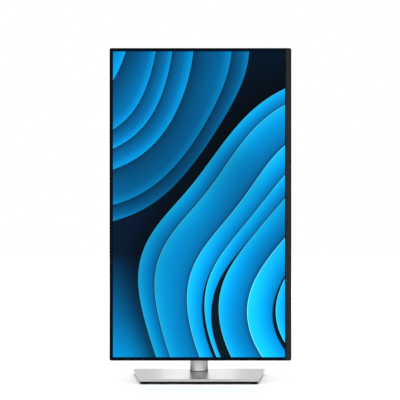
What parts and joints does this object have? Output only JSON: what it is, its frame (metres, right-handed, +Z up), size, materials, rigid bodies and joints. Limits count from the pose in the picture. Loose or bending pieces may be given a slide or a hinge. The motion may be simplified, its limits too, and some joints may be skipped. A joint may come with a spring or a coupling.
{
  "type": "computer monitor",
  "caption": "Flat-panel widescreen desktop monitor standing in portrait on a silver column stand with a tapered plate base; adjusts for height, tilt, swivel and pivot.",
  "frame": {"origin": "on the desk, under the middle of the whole object's box", "axes": "+Z up, +Y away from the viewer (the screen faces -Y), +X to the viewer's right"},
  "size_m": [0.3134, 0.163, 0.5818],
  "materials": {
    "silver_metal": "fine brushed silver",
    "satin_black_plastic": "fine spark-eroded texture",
    "chin_plastic": "satin dark grey",
    "screen_glass": "anti-glare coated display glass",
    "white_film": "matte white film",
    "clear_acrylic": "clear polished",
    "led_board": "white solder mask",
    "zinc_steel": "zinc-plated sheet",
    "bright_steel": "bright nickel-plated",
    "base_steel": "black painted plate",
    "spring_steel": "oiled spring steel",
    "cast_aluminium": "bead-blasted casting",
    "circuit_board": "green solder mask",
    "socket_shell": "nickel-plated shell",
    "black_nylon": "moulded matte black",
    "foot_rubber": "matte rubber"
  },
  "bodies": {
    "base": {"base_cover": "silver_metal", "base_plate": "base_steel", "base_underside": "black_nylon", "foot_front_left": "foot_rubber", "foot_front_middle": "foot_rubber", "foot_front_right": "foot_rubber", "foot_back_left": "foot_rubber", "foot_back_right": "foot_rubber"},
    "column": {"column_shell": "silver_metal", "column_cap": "silver_metal", "column_core": "bright_steel", "slide_rail_left": "bright_steel", "slide_rail_right": "bright_steel", "lift_spring_strip": "spring_steel", "cable_clip": "black_nylon", "swivel_neck": "black_nylon", "swivel_washer": "bright_steel", "swivel_bolt": "bright_steel"},
    "lift": {"lift_arm": "cast_aluminium", "arm_cover": "black_nylon", "lift_carriage": "black_nylon"},
    "spring_drum": {"lift_spring_drum": "spring_steel"},
    "tilt_head": {"tilt_bracket": "bright_steel", "friction_washer": "spring_steel", "tilt_shaft": "bright_steel", "tilt_nut": "bright_steel", "tilt_spring_left": "spring_steel", "tilt_spring_right": "spring_steel"},
    "display": {"front_rim": "satin_black_plastic", "chin_strip": "chin_plastic", "lcd_cell": "screen_glass", "optical_films": "white_film", "light_guide_plate": "clear_acrylic", "reflector_sheet": "white_film", "led_light_bar": "led_board", "panel_tray": "zinc_steel", "timing_board": "circuit_board", "shield_chassis": "zinc_steel", "main_board": "circuit_board", "power_board": "circuit_board", "key_board": "circuit_board", "hdmi_socket": "socket_shell", "displayport_socket": "socket_shell", "usb_socket": "socket_shell", "ac_inlet": "black_nylon", "rear_cover": "satin_black_plastic", "mount_receiver": "zinc_steel", "receiver_screw_1": "bright_steel", "receiver_screw_2": "bright_steel", "receiver_screw_3": "bright_steel", "receiver_screw_4": "bright_steel", "quick_release_plate": "zinc_steel", "pivot_hub": "bright_steel", "pivot_nut": "bright_steel"},
    "release_button": {"release_button": "satin_black_plastic"},
    "release_latch": {"release_latch": "bright_steel"},
    "power_button": {"power_button": "satin_black_plastic"},
    "joystick_gimbal": {"joystick_gimbal": "black_nylon"},
    "joystick_stem": {"joystick_stem": "black_nylon"},
    "joystick_cap": {"joystick_cap": "satin_black_plastic"}
  },
  "joints": [
    {"name": "stand_swivel", "type": "hinge", "parent": "base", "child": "column", "pos_m": [-0.00255, 0.0561, 0.0085], "axis": [0, 0, 1], "range_deg": [-45, 45]},
    {"name": "height_slide", "type": "slide", "parent": "column", "child": "lift", "axis": [0, 0, 1], "range_m": [-0.026, 0.028], "deforming": ["lift_spring_strip"]},
    {"name": "spring_wind", "type": "hinge", "parent": "lift", "child": "spring_drum", "pos_m": [-0.00255, 0.0555, 0.2524], "axis": [1, 0, 0], "range_deg": [-190, 180]},
    {"name": "head_tilt", "type": "hinge", "parent": "lift", "child": "tilt_head", "pos_m": [-0.00255, -0.01, 0.3124], "axis": [-1, 0, 0], "range_deg": [-5, 21]},
    {"name": "panel_pivot", "type": "hinge", "parent": "tilt_head", "child": "display", "pos_m": [-0.00255, -0.0378, 0.3124], "axis": [0, 1, 0], "range_deg": [0, 90]},
    {"name": "release_press", "type": "slide", "parent": "display", "child": "release_button", "axis": [0, -1, 0], "range_m": [0, 0.003], "stiffness_N_per_m": 400, "springref_m": -0.002},
    {"name": "latch_slide", "type": "slide", "parent": "display", "child": "release_latch", "axis": [1, 0, 0], "range_m": [0, 0.004]},
    {"name": "power_press", "type": "slide", "parent": "display", "child": "power_button", "axis": [0, -1, 0], "range_m": [0, 0.0008], "stiffness_N_per_m": 600, "springref_m": -0.0008},
    {"name": "joystick_up_down", "type": "hinge", "parent": "display", "child": "joystick_gimbal", "pos_m": [0.04545, -0.0435, 0.4624], "axis": [0, 0, 1], "range_deg": [-6, 6], "stiffness_Nm_per_rad": 0.03},
    {"name": "joystick_left_right", "type": "hinge", "parent": "joystick_gimbal", "child": "joystick_stem", "pos_m": [0.04545, -0.0435, 0.4624], "axis": [-1, 0, 0], "range_deg": [-6, 6], "stiffness_Nm_per_rad": 0.03},
    {"name": "joystick_press", "type": "slide", "parent": "joystick_stem", "child": "joystick_cap", "axis": [0, -1, 0], "range_m": [0, 0.0005], "stiffness_N_per_m": 800, "springref_m": -0.0005}
  ],
  "couplings": [
    {"joint": "spring_wind", "follows": "height_slide", "rad_per_m": -116.28},
    {"joint": "latch_slide", "follows": "release_press", "ratio": 1.3333}
  ]
}
